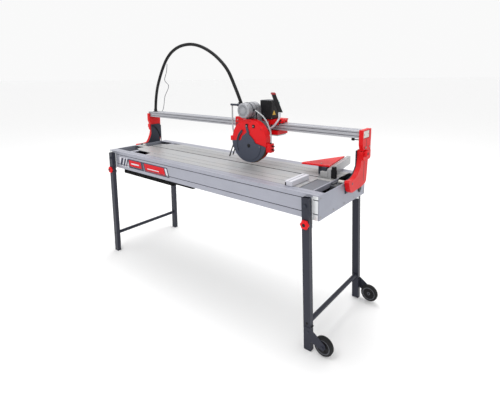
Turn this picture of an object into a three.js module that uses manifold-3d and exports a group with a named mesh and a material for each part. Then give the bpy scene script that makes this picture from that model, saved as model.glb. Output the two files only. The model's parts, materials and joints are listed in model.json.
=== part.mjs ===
// Wet tile saw with a long extruded rail, a sliding cutting head and a folding stand.
// Millimetres. X runs along the rail (right is +X), Y is depth (rear is +Y), Z is up.
// The shapes are laid out with the floor at z = 0 and the table centred on x = y = 0, and the
// whole saw is then moved so that the origin is the bottom centre of its bounding box.
import * as THREE from 'three';
import Module from 'manifold-3d';

const wasm = await Module();
wasm.setup();

// ---- driving dimensions -------------------------------------------------------------------
const GAP = 0.3;                  // clearance between parts that touch or turn in each other
const FRAME_X = 914.5;            // half length of the long frame profiles
const FRAME_Y = 272.5;            // half width of the frame over the profiles
const TOP = 810;                  // height of the table
const UNDER = 684;                // underside of the frame
const PANEL_X = 920;              // outer face of the end panels
const SLOT_Y = [21.5, 31.5];      // the gap in the table that the blade runs in
const TILT = { y: 26, z: 806 };   // axis of the tilting bridge, along X
const TILT_LOCK_R = 190;          // radius of the clamping slot around that axis
const TILT_LOCK_ANGLE = 49.3;     // where the clamp sits in the slot with the bridge upright
const RAIL = { x0: -944, x1: 957, y0: 123.5, y1: 204.5, z0: 1034, z1: 1076 };
const CARRIAGE = { x0: 62, xe: 410, x1: 447 };
const GUARD = { x: 263, z: 967, r: 138, y0: 4, y1: 49 };
const BLADE = { x: 263, y: 26, z: 947, r: 125, t: 2.4 };
const MOTOR = { x: 244, z: 1160, r: 48, y0: -32, y1: 48 };
const PLUNGE = 17;                // how far the cutting head can be lowered
const LEG = { x: 861, y: 290.5, w: 40, d: 28, pivot: 757, wall: 2.5 };
const SPLAY = { left: 0.4, right: 2.0 };   // outward lean of the legs, degrees
const WHEEL = { x: 972, z: 56, r: 50 };

// ---- colours -------------------------------------------------------------------------------
const RED = [0xd8262c, 0.45, 0.1];
const ALU = [0xc4c5c9, 0.4, 0.8];
const PANEL = [0xa3a6b4, 0.5, 0.3];
const SLATE = [0x3d4049, 0.5, 0.2];
const GREY = [0x4d5262, 0.5, 0.1];
const BLACK = [0x141416, 0.6, 0];
const STEEL = [0x9a9ca0, 0.35, 0.9];
const WHITE = [0xe4e4ea, 0.5, 0];
const CLEAR = [0xc9cdd0, 0.3, 0];

// ---- geometry helpers ----------------------------------------------------------------------
const rad = (d) => d * Math.PI / 180;

function place(shape, depth, u, v, w, origin) {
  const g = new THREE.ExtrudeGeometry(shape, { depth, bevelEnabled: false, steps: 1 });
  const m = new THREE.Matrix4().makeBasis(u, v, w).setPosition(...origin);
  return g.applyMatrix4(m);
}

const X = new THREE.Vector3(1, 0, 0);
const Y = new THREE.Vector3(0, 1, 0);
const Z = new THREE.Vector3(0, 0, 1);

function shapeOf(pts, holes = []) {
  const s = new THREE.Shape(pts.map((p) => new THREE.Vector2(...p)));
  holes.forEach((h) => s.holes.push(new THREE.Path(h.map((p) => new THREE.Vector2(...p)))));
  return s;
}

// a flat outline in (y, z) carried along X
const alongX = (pts, x0, x1, holes) =>
  place(shapeOf(pts, holes), x1 - x0, Y, Z, X, [x0, 0, 0]);
// a flat outline in (x, z) carried along Y
const alongY = (pts, y0, y1, holes) =>
  place(shapeOf(pts, holes), y1 - y0, X, Z, Y.clone().negate(), [0, y1, 0]);
// a flat outline in (x, y) carried along Z
const alongZ = (pts, z0, z1, holes) =>
  place(shapeOf(pts, holes), z1 - z0, X, Y, Z, [0, 0, z0]);

const rect = (a0, b0, a1, b1) => [[a0, b0], [a1, b0], [a1, b1], [a0, b1]];
const box = (x0, x1, y0, y1, z0, z1) => alongZ(rect(x0, y0, x1, y1), z0, z1);

function arc(cx, cy, r, a0, a1, n) {
  const pts = [];
  for (let i = 0; i <= n; i += 1) {
    const a = rad(a0 + (a1 - a0) * i / n);
    pts.push([cx + r * Math.cos(a), cy + r * Math.sin(a)]);
  }
  return pts;
}

const circle = (cx, cy, r, n = 20) => arc(cx, cy, r, 0, 360 - 360 / n, n - 1);

function lobed(cx, cy, r, lobes, depth) {
  const pts = [];
  const n = lobes * 4;
  for (let i = 0; i < n; i += 1) {
    const a = 2 * Math.PI * i / n;
    const q = r - depth * (0.5 - 0.5 * Math.cos(lobes * a));
    pts.push([cx + q * Math.cos(a), cy + q * Math.sin(a)]);
  }
  return pts;
}

// ---- solid booleans ------------------------------------------------------------------------
function solid(g) {
  const pos = g.getAttribute('position');
  const index = new Map();
  const verts = [];
  const ids = [];
  for (let i = 0; i < pos.count; i += 1) {
    const p = [pos.getX(i), pos.getY(i), pos.getZ(i)];
    const key = p.map((c) => Math.round(c * 1e4)).join();
    if (!index.has(key)) {
      index.set(key, verts.length / 3);
      verts.push(...p);
    }
    ids.push(index.get(key));
  }
  const order = g.index ? Array.from(g.index.array) : ids.map((_, i) => i);
  const tris = order.map((i) => ids[i]);
  const mesh = new wasm.Mesh({
    numProp: 3,
    vertProperties: new Float32Array(verts),
    triVerts: new Uint32Array(tris),
  });
  mesh.merge();
  return new wasm.Manifold(mesh);
}

const union = (...gs) => gs.map(solid).reduce((a, b) => a.add(b));
const cut = (a, ...gs) => gs.reduce((m, g) => m.subtract(solid(g)), a);

function geometry(m) {
  const mesh = m.getMesh();
  const g = new THREE.BufferGeometry();
  g.setAttribute('position', new THREE.BufferAttribute(Float32Array.from(mesh.vertProperties), 3));
  g.setIndex(Array.from(mesh.triVerts));
  const flat = g.toNonIndexed();
  flat.computeVertexNormals();
  return flat;
}

// a round bar or tube along a smooth path
function barAlong(points, r, sides, steps, kind = 'catmullrom') {
  const curve = new THREE.CatmullRomCurve3(points.map((p) => new THREE.Vector3(...p)), false, kind);
  const section = new THREE.Shape(circle(0, 0, r, sides).map((p) => new THREE.Vector2(...p)));
  return new THREE.ExtrudeGeometry(section, { steps, extrudePath: curve, bevelEnabled: false });
}

const saw = new THREE.Group();
saw.name = 'wet_tile_saw';

function add(name, shape, [color, roughness, metalness]) {
  const g = shape.getMesh ? geometry(shape) : shape;
  const m = new THREE.Mesh(g, new THREE.MeshStandardMaterial({ color, roughness, metalness }));
  m.name = name;
  saw.add(m);
  return m;
}

const mirrorY = (pts) => pts.map(([y, z]) => [-y, z]).reverse();
const mirrorX = (pts) => pts.map(([x, z]) => [-x, z]).reverse();

// ---- frame ---------------------------------------------------------------------------------
// C-shaped extrusion: grooved outer wall, a wide top flange and a narrow bottom flange
function frameProfile() {
  const f = -FRAME_Y;
  return [
    [f, UNDER], [f + 32.5, UNDER], [f + 32.5, UNDER + 5.5], [f + 5.5, UNDER + 5.5],
    [f + 5.5, TOP - 5], [-212, TOP - 5], [-212, TOP], [-244, TOP], [-244, TOP - 2], [-247, TOP - 2],
    [-247, TOP], [f, TOP], [f, 788], [f + 2.5, 788], [f + 2.5, 784], [f, 784],
    [f, 718], [f + 2.5, 718], [f + 2.5, 714], [f, 714],
  ];
}

function longProfiles() {
  const bolt = (x, y0, y1) => alongY(circle(x, LEG.pivot, 5.3, 12), y0, y1);
  const pts = frameProfile();
  add('front_profile', cut(solid(alongX(pts, -FRAME_X, FRAME_X)),
    bolt(-LEG.x, -280, -260), bolt(LEG.x, -280, -260)), PANEL);
  add('rear_profile', cut(solid(alongX(mirrorY(pts), -FRAME_X, FRAME_X)),
    bolt(-LEG.x, 260, 280), bolt(LEG.x, 260, 280)), PANEL);
}

// sheet that closes one end, with a notch for the head of the tilt pivot
function endPanel(name, side) {
  const x0 = side > 0 ? FRAME_X + 0.5 : -PANEL_X;
  const sheet = solid(alongX(rect(-FRAME_Y, UNDER, FRAME_Y, TOP), x0, x0 + 5));
  add(name, cut(sheet, alongX(circle(TILT.y, TILT.z, 15, 20), x0 - 1, x0 + 6)), PANEL);
}

// ---- table ---------------------------------------------------------------------------------
function table() {
  const front = [
    [-914, -45], [-790, -45], [-790, -110], [-723, -140], [-560, -149], [-548, -195],
    [-540, -211.5], [766, -211.5], [766, -15], [848, -15], [848, SLOT_Y[0]], [-790, SLOT_Y[0]],
    [-790, -5], [-914, -5],
  ];
  add('table_front', alongZ(front, TOP - 5, TOP), ALU);
  const rear = [[-790, SLOT_Y[1]], [848, SLOT_Y[1]], [848, 211.5], [-620, 211.5], [-790, 120]];
  add('table_rear', alongZ(rear, TOP - 5, TOP), ALU);
}

// channel-shaped bearer under the table, notched below the blade slot
function bearer(name, x) {
  const c = [
    [x - 20, 754], [x + 20, 754], [x + 20, 758], [x - 16, 758], [x - 16, 800.7],
    [x + 20, 800.7], [x + 20, 804.7], [x - 20, 804.7],
  ];
  add(name, cut(solid(alongY(c, -266.5, 266.5)), box(x - 30, x + 30, 14, 38, 790, 820)), ALU);
}

function rightEnd() {
  // end casting: a cover plate beside the table, a narrow bar along its edge and a block that
  // fills the end of the blade slot
  add('end_bridge', union(box(768.5, 850, -209, -16, 801, 808), box(849, 857, -211, 62, 784, 811),
    box(856, 904, -45, 62, 770, 797), box(856, 872, -30, 12, 796, 806)), ALU);
}

// water tray: a shallow basin on the bottom flanges with a deep sump on the left
function waterTray() {
  const outer = union(box(-900, 900, -260, 260, 690, 742), box(-791, -215, -236, 236, 638, 691),
    box(-216, -10, -236, 236, 655, 691));
  const tray = cut(outer, box(-897, 897, -257, 257, 693, 760), box(-788, -218, -233, 233, 641, 700),
    box(-219, -13, -233, 233, 658, 700));
  add('water_tray', tray, BLACK);
}

// ---- tilting bridge ------------------------------------------------------------------------
// fixed plate on the end panel: pivot stud for the pylon and the curved clamping slot
function tiltPlate(name, side) {
  const front = side > 0 ? [[124, 884], [108, 862], [80, 838], [50, 826], [4, 824]]
    : [[124, 884], [112, 856], [100, 832], [86, 817], [50, 812], [4, 811]];
  const outline = [[4, 750], [226, 750], [226, 949], [210, 965], [124, 965], ...front];
  const slot = [
    ...arc(TILT.y, TILT.z, TILT_LOCK_R + 5.5, 1.5, TILT_LOCK_ANGLE + 1.9, 12),
    ...arc(TILT.y, TILT.z, TILT_LOCK_R - 5.5, TILT_LOCK_ANGLE + 1.9, 1.5, 12),
  ];
  const along = (pts, a, b) => (side > 0 ? alongX(pts, a, b) : alongX(pts, -b, -a));
  let m = cut(solid(along(outline, PANEL_X + GAP, PANEL_X + 5)), along(slot, 915, 930));
  m = m.add(solid(along(circle(TILT.y, TILT.z, 7, 16), 912, 945)));
  m = m.add(solid(along(circle(TILT.y, TILT.z, 12, 20), 908, PANEL_X + 1)));
  add(name, m, SLATE);
}

// boot-shaped red casting: foot around the pivot, arm, knuckle and the cradle for the rail
function pylon(name, side) {
  const foot = [
    [134, 970], [134, 930], [130, 905], ...(side > 0
      ? [[124, 878], [106, 859], [80, 838], [50, 827], [20, 824], [-12, 829], [-18, 819]]
      : [[122, 878], [110, 852], [98, 830], [84, 816], [50, 812], [20, 812], [-10, 814], [-18, 808]]),
    [-12, 797], [2, 770], [14, 760], [30, 757], [150, 762], [200, 772],
    [212, 784], [218, 830], [224, 897], [224, 970],
  ];
  const knuckle = [[130, 918], [146, 910], [216, 910], [230, 920], [230, 958], [224, 964],
    [132, 964], [126, 956]];
  const arm = rect(126, 966, 225, 1033);
  const inner = side > 0 ? 941 : 926;
  const outer = side > 0 ? 964 : 952;
  const along = (pts, a, b) => (side > 0 ? alongX(pts, a, b) : alongX(pts, -b, -a));
  const lock = [
    TILT.y + TILT_LOCK_R * Math.cos(rad(TILT_LOCK_ANGLE)),
    TILT.z + TILT_LOCK_R * Math.sin(rad(TILT_LOCK_ANGLE)),
  ];
  const top = side > 0 ? 1081 : 1060;
  let m = solid(along(foot, 926, 952));
  m = m.add(solid(along(knuckle, 940, 964)));
  m = m.add(solid(along(arm, inner, outer)));
  m = m.add(solid(along(rect(112.5, 1000, 122.8, top), inner, outer)));
  m = m.add(solid(along([[113, 1000], [126.5, 964], [131, 964], [131, 1032], [113, 1032]], inner, outer)));
  if (side > 0) m = m.add(solid(along(rect(112.5, 1076.3, 226, 1081), inner, outer)));
  m = m.add(solid(along(rect(205.2, 1020, 226, side > 0 ? 1081 : 1052), inner, outer)));
  m = cut(m, along(circle(TILT.y, TILT.z, 7.3, 16), 920, 946));
  m = cut(m, along(circle(...lock, 5.4, 14), 900, 980));
  add(name, m, RED);
}

// clamp knob with its bolt and inner washer
function tiltKnob(name, side) {
  const y = TILT.y + TILT_LOCK_R * Math.cos(rad(TILT_LOCK_ANGLE));
  const z = TILT.z + TILT_LOCK_R * Math.sin(rad(TILT_LOCK_ANGLE));
  const along = (pts, a, b) => (side > 0 ? alongX(pts, a, b) : alongX(pts, -b, -a));
  let m = solid(along(lobed(y, z, 23, 5, 5), 964.5, 982));
  m = m.add(solid(along(circle(y, z, 5, 14), 914, 966)));
  m = m.add(solid(along(circle(y, z, 9, 14), 912, PANEL_X)));
  add(name, m, RED);
}

// hollow aluminium rail with two shallow grooves in the front and one in the top
function rail() {
  const { y0, y1, z0, z1 } = RAIL;
  const pts = [
    [y0, z0], [y1, z0], [y1, z1], [y1 - 25, z1], [y1 - 25, z1 - 2], [y1 - 55, z1 - 2], [y1 - 55, z1],
    [y0, z1], [y0, z1 - 9], [y0 + 2, z1 - 10], [y0 + 2, z1 - 13], [y0, z1 - 14],
    [y0, z0 + 14], [y0 + 2, z0 + 13], [y0 + 2, z0 + 10], [y0, z0 + 9],
  ];
  const hollow = rect(y0 + 5, z0 + 3, y1 - 3, z1 - 5).reverse();
  add('rail', alongX(pts, RAIL.x0, RAIL.x1, [hollow]), ALU);
}

function bumper() {
  const m = union(alongX(circle(150, 1022, 7.5, 16), 884, 900),
    alongX(circle(150, 1022, 3, 10), 899, 940.6));
  add('end_bumper', m, BLACK);
}

// conduit that feeds the head: it stands on the rail end and arches over to the carriage
function conduit() {
  const path = [
    [-896, 160, 1077], [-893, 160, 1110], [-884, 160, 1176], [-857, 160, 1275], [-818, 160, 1359],
    [-766, 160, 1447], [-716, 160, 1510], [-650, 160, 1562], [-556, 160, 1599], [-435, 160, 1610],
    [-331, 160, 1592], [-228, 160, 1550], [-129, 160, 1486], [-52, 160, 1411], [12, 160, 1301],
    [62, 160, 1200], [86, 160, 1140], [94, 160, 1112], [95, 160, 1101.6],
  ];
  add('conduit', barAlong(path, 12, 10, 40), BLACK);
  const wire = [
    [-930, 216, 1053.5], [-908, 226, 1064], [-886, 230, 1086], [-860, 222, 1130],
    [-814, 202, 1206], [-744, 188, 1296], [-780, 180, 1338], [-742, 172, 1410],
    [-722, 165, 1470],
  ];
  add('conduit_stay', barAlong(wire, 2, 5, 20), STEEL);
}

// ---- carriage ------------------------------------------------------------------------------
function carriage() {
  const { x0, xe, x1 } = CARRIAGE;
  let m = union(
    box(x0, 415, 106, 222, 1092, 1100), box(x0, xe, 210, 222, 1004, 1093),
    box(x0, xe, 110, 211, 1004, 1012), box(x0, xe, 110, 118, 1004, 1031),
    box(x0, 350, 106, 118, 1004, 1093), box(349, 415, 106, 118, 1068, 1093),
    box(x0, x0 + 6, 110, 215, 1004, 1031), box(xe - 6, xe, 110, 215, 1004, 1031),
    box(404, x1, 126, 160, 1092, 1100), box(404, x1, 126, 140, 1082, 1104),
  );
  for (const x of [95, 385]) {
    m = cut(m, alongY(circle(x, 1083.8, 4.3, 12), 205, 230));
  }
  m = cut(m, alongY(circle(434, 1095, 4.3, 12), 120, 138));
  add('carriage', m, RED);
  [95, 385].forEach((x, i) => {
    const r = union(alongY(circle(x, 1083.8, 7.5, 20), 128, 200),
      alongY(circle(x, 1083.8, 4, 12), 199, 224));
    add(`roller_${i + 1}`, r, STEEL);
  });
  // electrical box beside the motor
  add('switch_box', box(285, 371, 93, 178, 1100.4, 1220), BLACK);
  // knob that clamps the carriage on the rail
  add('carriage_knob', union(alongY(lobed(434, 1095, 17, 5, 3.5), 108, 123),
    alongY(circle(434, 1095, 4, 12), 122, 137)), RED);
}

// ---- cutting head --------------------------------------------------------------------------
function headArm() {
  const obround = (r) => [
    ...arc(MOTOR.x, MOTOR.z, r, 0, 180, 10), ...arc(BLADE.x, BLADE.z, r, 180, 360, 10),
  ];
  let m = cut(solid(alongY(obround(50), 52, 92)), alongY(obround(46), 50, 88));
  m = m.add(solid(box(150, 345, 87.5, 104, 985, 1088)));
  m = cut(m, alongY(circle(BLADE.x, BLADE.z, 8.3, 16), 80, 110));
  add('head_arm', m, ALU);
}

function motor() {
  const body = union(
    alongY(circle(MOTOR.x, MOTOR.z, MOTOR.r, 24), MOTOR.y0 + 6, MOTOR.y1),
    alongY(circle(MOTOR.x, MOTOR.z, MOTOR.r - 6, 24), MOTOR.y0, MOTOR.y1 - 6),
    alongY(circle(MOTOR.x, MOTOR.z, MOTOR.r + 2, 24), 10, 16),
  );
  add('motor', body, ALU);
  add('motor_pulley', union(alongY(circle(MOTOR.x, MOTOR.z, 8, 12), MOTOR.y1 + GAP, 84),
    alongY(circle(MOTOR.x, MOTOR.z, 28, 24), 60, 80)), STEEL);
}

// flat belt around the two pulleys
function belt() {
  const d = new THREE.Vector2(BLADE.x - MOTOR.x, BLADE.z - MOTOR.z);
  const a = Math.atan2(d.y, d.x) * 180 / Math.PI;
  const tilt = Math.asin((34 - 28) / d.length()) * 180 / Math.PI;
  const loop = (t) => [
    ...arc(MOTOR.x, MOTOR.z, 28 + t, a + 90 + tilt, a + 270 - tilt, 12),
    ...arc(BLADE.x, BLADE.z, 34 + t, a - 90 - tilt, a + 90 + tilt, 12),
  ];
  add('drive_belt', alongY(loop(4), 62, 78, [loop(0.35).reverse()]), BLACK);
}

function spindle() {
  const c = (r, n) => circle(BLADE.x, BLADE.z, r, n);
  add('arbor', union(alongY(c(7.95, 16), 12, 96), alongY(c(30, 28), 28, 34),
    alongY(c(34, 28), 60, 80)), STEEL);
  add('blade', alongY(c(BLADE.r, 48), BLADE.y - BLADE.t / 2, BLADE.y + BLADE.t / 2,
    [c(8.3, 16).reverse()]), STEEL);
  const hex = circle(BLADE.x, BLADE.z, 13, 6);
  add('blade_nut', cut(union(alongY(hex, 10, 20), alongY(c(28, 28), 19, 24.4)),
    alongY(c(8.3, 16), 5, 30)), STEEL);
}

// red blade guard: rear disc, rim over the top and the upper front panel
function guard() {
  const { x, z, r, y0, y1 } = GUARD;
  const rim = [...arc(x, z, r, -18, 198, 30), ...arc(x, z, r - 3, 198, -18, 30)];
  const disc = circle(x, z, r, 48);
  const rear = cut(solid(alongY(disc, y1 - 2.5, y1)),
    alongY(circle(BLADE.x, BLADE.z, 24, 20), 40, 55), box(x - 150, x + 150, 40, 55, 800, 849));
  const upper = [
    ...arc(x, z, r, -12, 184, 28), [198, 965], [214, 996], [261, 1028], [271, 1005],
    [301, 981], [316, 958], [380, 944],
  ];
  let m = rear.add(solid(alongY(rim, y0, y1 - 1)));
  m = m.add(solid(alongY(upper, y0, y0 + 3)));
  m = m.add(solid(box(395, 428, 8, 46, 908, 962)));
  m = m.add(solid(box(104, 130, 8, 46, 955, 985)));
  add('guard', m, RED);
  // grey lower cover with its raised curved band
  const lower = [
    [198, 964], [214, 995], [261, 1027], [271, 1004], [301, 980], [316, 957], [380, 943],
    ...arc(x, z, r, -12, -176, 26),
  ];
  const band2 = [
    ...arc(x + 12, z - 20, 110, 200, 128, 10), ...arc(x + 12, z - 20, 96, 128, 200, 10),
  ];
  m = solid(alongY(lower, y0 - 4, y0 - GAP)).add(solid(alongY(band2, y0 - 9, y0 - 3)));
  const hub = solid(alongY(circle(BLADE.x + 4, BLADE.z - 10, 92, 36), y0 - 7, y0 - 3));
  m = m.add(hub.intersect(solid(alongY(lower, y0 - 8, y0 - 2))));
  m = m.add(solid(alongY([[236, 1062], [250, 1066], [268, 1020], [252, 1004]], y0 - 5, y0 - GAP)));
  add('guard_cover', m, GREY);
}

function splashFlap() {
  const strip = [[126, 940], [128, 934], [92, 842], [84, 842]];
  const short = [[126, 940], [128, 934], [94.7, 849], [86.8, 849]];
  const m = union(alongY(strip, 9, 14), alongY(short, 40, 45),
    alongY([[124, 938], [127, 934], [118, 908], [114, 910]], 9, 45));
  add('splash_flap', m, BLACK);
}

function waterLines() {
  add('water_valve', union(alongX(circle(66, 1184, 7, 14), 58, 191),
    alongX(circle(66, 1184, 10, 14), 120, 140)), SLATE);
  add('water_tube_left', barAlong([
    [70, 66, 1176.6], [72, 64, 1150], [80, 55, 1108], [92, 42, 1056], [108, 30, 1020],
    [118, 26, 1000], [119, 26, 986],
  ], 5, 6, 16), CLEAR);
  add('water_tube_right', barAlong([
    [294.5, 21.5, 1163], [315, 19, 1157], [330, 15, 1150], [358, 15, 1134], [389, 15, 1106],
    [410, 15, 1071], [424, 16, 1035], [425, 18, 999], [420, 24, 963.2],
  ], 4.5, 6, 18), CLEAR);
}

function handle() {
  add('handle_bar', barAlong([
    [348, 98, 1040], [366, 97, 1046], [386, 96, 1058], [408, 95, 1080], [428, 95, 1106],
    [437, 95, 1128], [438, 95, 1146],
  ], 6, 8, 16), CLEAR);
  const a = new THREE.Vector3(440, 95, 1150.6);
  const b = new THREE.Vector3(384, 95, 1270);
  const d = b.clone().sub(a);
  const g = new THREE.CylinderGeometry(14, 16.5, d.length(), 20);
  g.applyQuaternion(new THREE.Quaternion().setFromUnitVectors(Y, d.clone().normalize()));
  g.translate(...a.clone().addScaledVector(d, 0.5));
  add('grip', g, BLACK);
}

// ---- table fittings ------------------------------------------------------------------------
function fittings() {
  add('end_stop', box(692, 736, -226, -53, TOP + GAP, 838), WHITE);
  // ribbed mitre fence, leaning about nine degrees off square
  const section = [
    [0, 0], [22, 0], [22, 50], [0, 50], [0, 42], [-3, 42], [-3, 32], [0, 32], [0, 20], [-3, 20],
    [-3, 10], [0, 10],
  ];
  const g = alongY(section, 0, 392);
  const turn = new THREE.Matrix4().makeRotationZ(rad(8.9)).setPosition(798, 36, TOP + GAP);
  add('fence', g.applyMatrix4(turn), ALU);
  const tri = [[0, 0], [0, 290], [-170, 20], [-170, 0]];
  const square = alongZ(tri, TOP + 50.8, TOP + 60).applyMatrix4(
    new THREE.Matrix4().makeRotationZ(rad(8.9)).setPosition(792, 76, 0));
  const post = box(716, 742, 84, 104, TOP + GAP, TOP + 51);
  add('protractor', union(square, post), RED);
  add('fence_clamp', union(box(822, 846, 36, 58, TOP + GAP, TOP + 46),
    alongZ(circle(834, 47, 14, 16), TOP + 45, TOP + 56)), BLACK);
}

// ---- folding stand -------------------------------------------------------------------------
function leanMatrix(side) {
  const angle = side > 0 ? -rad(SPLAY.right) : rad(SPLAY.left);
  return new THREE.Matrix4().makeTranslation(side * LEG.x, 0, LEG.pivot)
    .multiply(new THREE.Matrix4().makeRotationY(angle))
    .multiply(new THREE.Matrix4().makeTranslation(-side * LEG.x, 0, -LEG.pivot));
}

// mounting plate between leg and frame with the pivot bolt and an open notch for the lock bolt
function legBracket(name, side, face) {
  const a = side > 0 ? SPLAY.right : SPLAY.left;
  const lx = LEG.x + 91 * Math.sin(rad(a));
  const plate = [[LEG.x - 26, 642], [LEG.x + 26, 642], [LEG.x + 26, 796], [LEG.x - 26, 796]];
  const notch = [[lx + 4.6, 661], [lx + 4.6, 671], [LEG.x - 30, 680], [LEG.x - 30, 660]];
  const flip = (pts) => (side > 0 ? pts : mirrorX(pts));
  const across = (pts, p, q) => (face < 0 ? alongY(flip(pts), -q, -p) : alongY(flip(pts), p, q));
  let m = solid(across(plate, 272.8, 275.6));
  m = cut(m, across(notch, 260, 290));
  m = m.add(solid(across(circle(LEG.x, LEG.pivot, 5, 14), 262, 308)));
  m = m.add(solid(across(circle(LEG.x, LEG.pivot, 9, 6), 304.8, 311)));
  add(name, m, SLATE);
}

function leg(name, side, face, wheel) {
  const yc = face * LEG.y;
  const outer = rect(-LEG.w / 2, -LEG.d / 2, LEG.w / 2, LEG.d / 2);
  const w = LEG.wall;
  const hollow = rect(-LEG.w / 2 + w, -LEG.d / 2 + w, LEG.w / 2 - w, LEG.d / 2 - w).reverse();
  const tube = alongZ(outer, 0, 797, [hollow]).translate(side * LEG.x, yc, 0);
  let m = solid(tube);
  m = cut(m, alongY(circle(side * LEG.x, LEG.pivot, 5.3, 14), yc - 30, yc + 30));
  m = cut(m, alongY(circle(side * LEG.x, 666, 4.3, 12), yc - 30, yc + 30));
  const lean = leanMatrix(side);
  const g = geometry(m).applyMatrix4(lean);
  let out = cut(solid(g), box(-2000, 2000, -400, 400, -60, 0));
  if (wheel) {
    const q = face * (LEG.y + LEG.d / 2);
    const band = (a, b) => (face < 0 ? [q - b, q - a] : [q + a, q + b]);
    const cheek = [[868, 128], [905, 128], [WHEEL.x + 14, 74], [WHEEL.x + 16, 56],
      [WHEEL.x + 4, 38], [900, 60], [868, 40]];
    out = out.add(solid(alongY(cheek, ...band(-0.1, 3))));
    out = out.add(solid(alongY(circle(WHEEL.x, WHEEL.z, 5, 14),
      ...(face < 0 ? [q, q + 31] : [q - 31, q]))));
    out = out.add(solid(alongY(circle(WHEEL.x, WHEEL.z, 8, 6), ...band(2.9, 8))));
  }
  add(name, out, SLATE);
}

function wheelPart(name, face) {
  const q = face * (LEG.y + LEG.d / 2);
  const span = face < 0 ? [q + 0.6, q + 29.6] : [q - 29.6, q - 0.6];
  const tyre = circle(WHEEL.x, WHEEL.z, WHEEL.r, 36);
  add(name, alongY(tyre, ...span, [circle(WHEEL.x, WHEEL.z, 5.3, 16).reverse()]), BLACK);
}

function crossbar(name, side) {
  const z = 146;
  const g = alongY(circle(side * LEG.x, z, 12.5, 16), -276.2, 276.2,
    [circle(side * LEG.x, z, 10.5, 16).reverse()]);
  add(name, g.applyMatrix4(leanMatrix(side)), SLATE);
}

function legKnob(name, side, face) {
  const x = side * LEG.x;
  const across = (pts, p, q) => (face < 0 ? alongY(pts, -q, -p) : alongY(pts, p, q));
  const m = union(across(lobed(x, 666, 25, 6, 4), 305, 322),
    across(circle(x, 666, 4, 12), 273.1, 306));
  add(name, geometry(m).applyMatrix4(leanMatrix(side)), RED);
}

// ---- build ---------------------------------------------------------------------------------
longProfiles();
endPanel('end_panel_left', -1);
endPanel('end_panel_right', 1);
table();
bearer('table_bearer_left', -740);
bearer('table_bearer_right', 720);
rightEnd();
waterTray();
tiltPlate('tilt_plate_left', -1);
tiltPlate('tilt_plate_right', 1);
for (const [tag, side] of [['left', -1], ['right', 1]]) {
  for (const [end, face] of [['front', -1], ['rear', 1]]) {
    legBracket(`leg_bracket_${end}_${tag}`, side, face);
    leg(`leg_${end}_${tag}`, side, face, side > 0);
    legKnob(`leg_knob_${end}_${tag}`, side, face);
  }
  crossbar(`crossbar_${tag}`, side);
  pylon(`pylon_${tag}`, side);
  tiltKnob(`tilt_knob_${tag}`, side);
}
wheelPart('wheel_front', -1);
wheelPart('wheel_rear', 1);
rail();
bumper();
conduit();
carriage();
headArm();
motor();
belt();
spindle();
guard();
splashFlap();
waterLines();
handle();
fittings();

// ---- origin at the bottom centre of the saw without its conduit ------------------------------
const free = ['conduit', 'conduit_stay', 'water_tube_left', 'water_tube_right'];
const bounds = new THREE.Box3();
saw.children.filter((m) => !free.includes(m.name)).forEach((m) => {
  m.geometry.computeBoundingBox();
  bounds.union(m.geometry.boundingBox);
});
const centre = bounds.getCenter(new THREE.Vector3());
saw.children.forEach((m) => m.geometry.translate(-centre.x, -centre.y, -bounds.min.z));

export default saw;
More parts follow.
